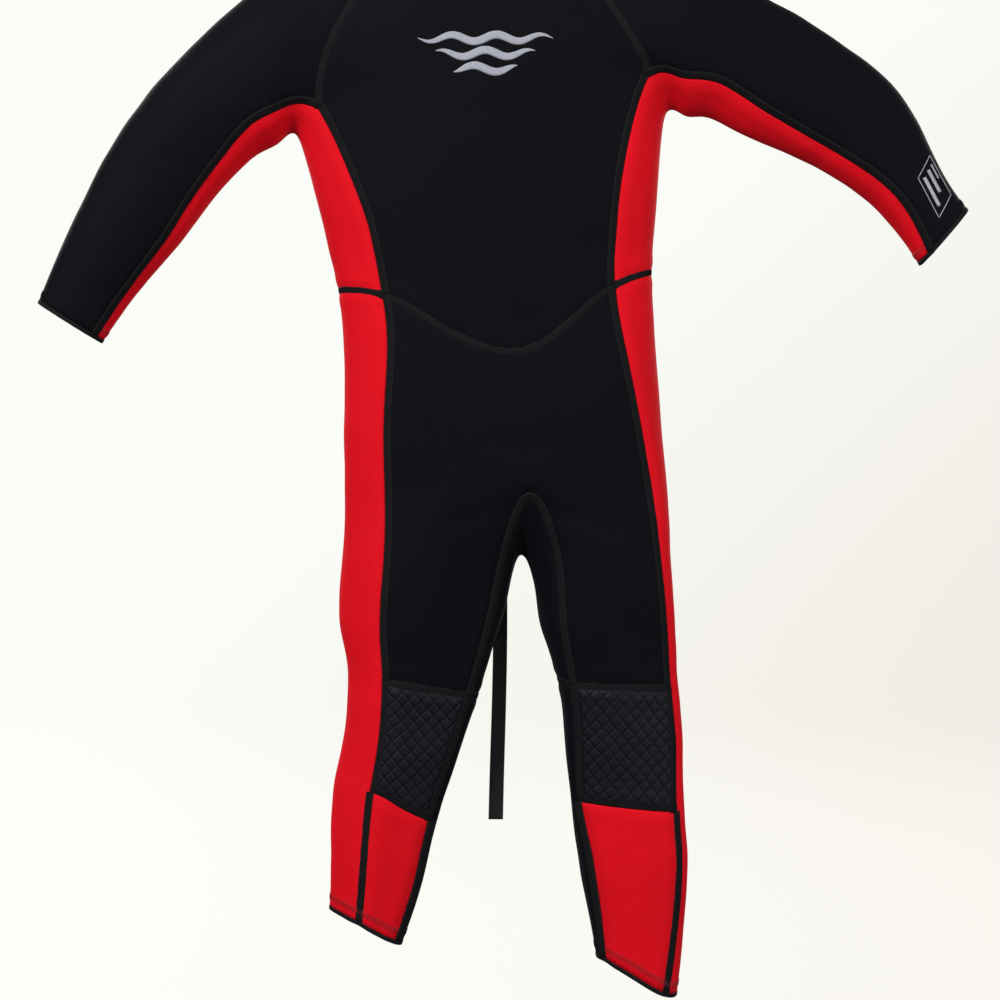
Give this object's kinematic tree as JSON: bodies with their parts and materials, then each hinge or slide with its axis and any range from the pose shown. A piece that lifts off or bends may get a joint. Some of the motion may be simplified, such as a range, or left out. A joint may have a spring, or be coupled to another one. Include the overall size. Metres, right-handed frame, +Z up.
{
  "type": "full wetsuit",
  "caption": "Child's full-length neoprene wetsuit with long sleeves, high collar, knee pads and a back zip with a hanging pull strap.",
  "frame": {"origin": "middle of the neck opening, where a hanger's neck carries the suit", "axes": "+Z up along the suit as it hangs, -Y out of the chest, +X to the viewer's right when the chest is seen"},
  "size_m": [0.7448, 0.0816, 0.8969],
  "materials": {
    "red_neoprene": "red nylon jersey bonded to foam rubber, matt with a fine knit",
    "black_neoprene": "black nylon jersey bonded to foam rubber, matt with a fine knit",
    "knee_rubber": "dark blue-grey printed rubber with a raised scale pattern, semi-matt",
    "collar_neoprene": "black jersey neoprene, softer and thinner at the edge",
    "edge_binding": "black turned and stitched edge",
    "zip_tape": "black woven polyester tape",
    "zip_plastic": "black moulded acetal, satin",
    "strap_webbing": "black woven polyester webbing",
    "hook_and_loop": "black hook-and-loop tape"
  },
  "bodies": {
    "suit": {"side_panel_upper_left": "red_neoprene", "side_panel_upper_right": "red_neoprene", "side_panel_lower_left": "red_neoprene", "side_panel_lower_right": "red_neoprene", "shin_panel_left": "red_neoprene", "shin_panel_right": "red_neoprene", "front_chest_panel": "black_neoprene", "front_lower_panel": "black_neoprene", "back_panel_left": "black_neoprene", "back_panel_right": "black_neoprene", "sleeve_left": "black_neoprene", "sleeve_right": "black_neoprene", "inseam_gusset": "black_neoprene", "inner_calf_panel_left": "black_neoprene", "inner_calf_panel_right": "black_neoprene", "seat_panel": "black_neoprene", "calf_panel_left": "black_neoprene", "calf_panel_right": "black_neoprene", "inner_zip_flap": "black_neoprene", "knee_pad_left": "knee_rubber", "knee_pad_right": "knee_rubber", "collar": "collar_neoprene", "collar_loop_pad": "hook_and_loop", "wrist_binding_left": "edge_binding", "wrist_binding_right": "edge_binding", "ankle_binding_left": "edge_binding", "ankle_binding_right": "edge_binding", "collar_binding": "edge_binding", "zip_tape_left": "zip_tape", "zip_tape_right": "zip_tape", "zip_chain_left": "zip_plastic", "zip_chain_right": "zip_plastic", "zip_top_stop_left": "zip_plastic", "zip_top_stop_right": "zip_plastic", "zip_bottom_stop": "zip_plastic"},
    "slider": {"zip_slider": "zip_plastic", "zip_slider_plate": "zip_plastic", "zip_slider_bridge": "zip_plastic"},
    "tab": {"pull_tab": "zip_plastic"},
    "strap": {"strap_loop": "strap_webbing", "pull_strap": "strap_webbing"},
    "collar_flap": {"collar_tab": "collar_neoprene", "collar_hook_pad": "hook_and_loop"}
  },
  "joints": [
    {"name": "zip_slide", "type": "slide", "parent": "suit", "child": "slider", "axis": [0.0921, 0, -0.9957], "range_m": [0, 0.29]},
    {"name": "tab_hinge", "type": "hinge", "parent": "slider", "child": "tab", "pos_m": [-0.00487, 0.04005, -0.00138], "axis": [0.9957, 0, 0.0921], "range_deg": [0, 110]},
    {"name": "strap_hinge", "type": "hinge", "parent": "tab", "child": "strap", "pos_m": [-0.00282, 0.04005, -0.02358], "axis": [0.9957, 0, 0.0921], "range_deg": [0, 50]},
    {"name": "collar_tab_hinge", "type": "hinge", "parent": "suit", "child": "collar_flap", "pos_m": [0.01811, 0.0405, 0.0324], "axis": [0.0921, 0, -0.9957], "range_deg": [0, 120]}
  ]
}
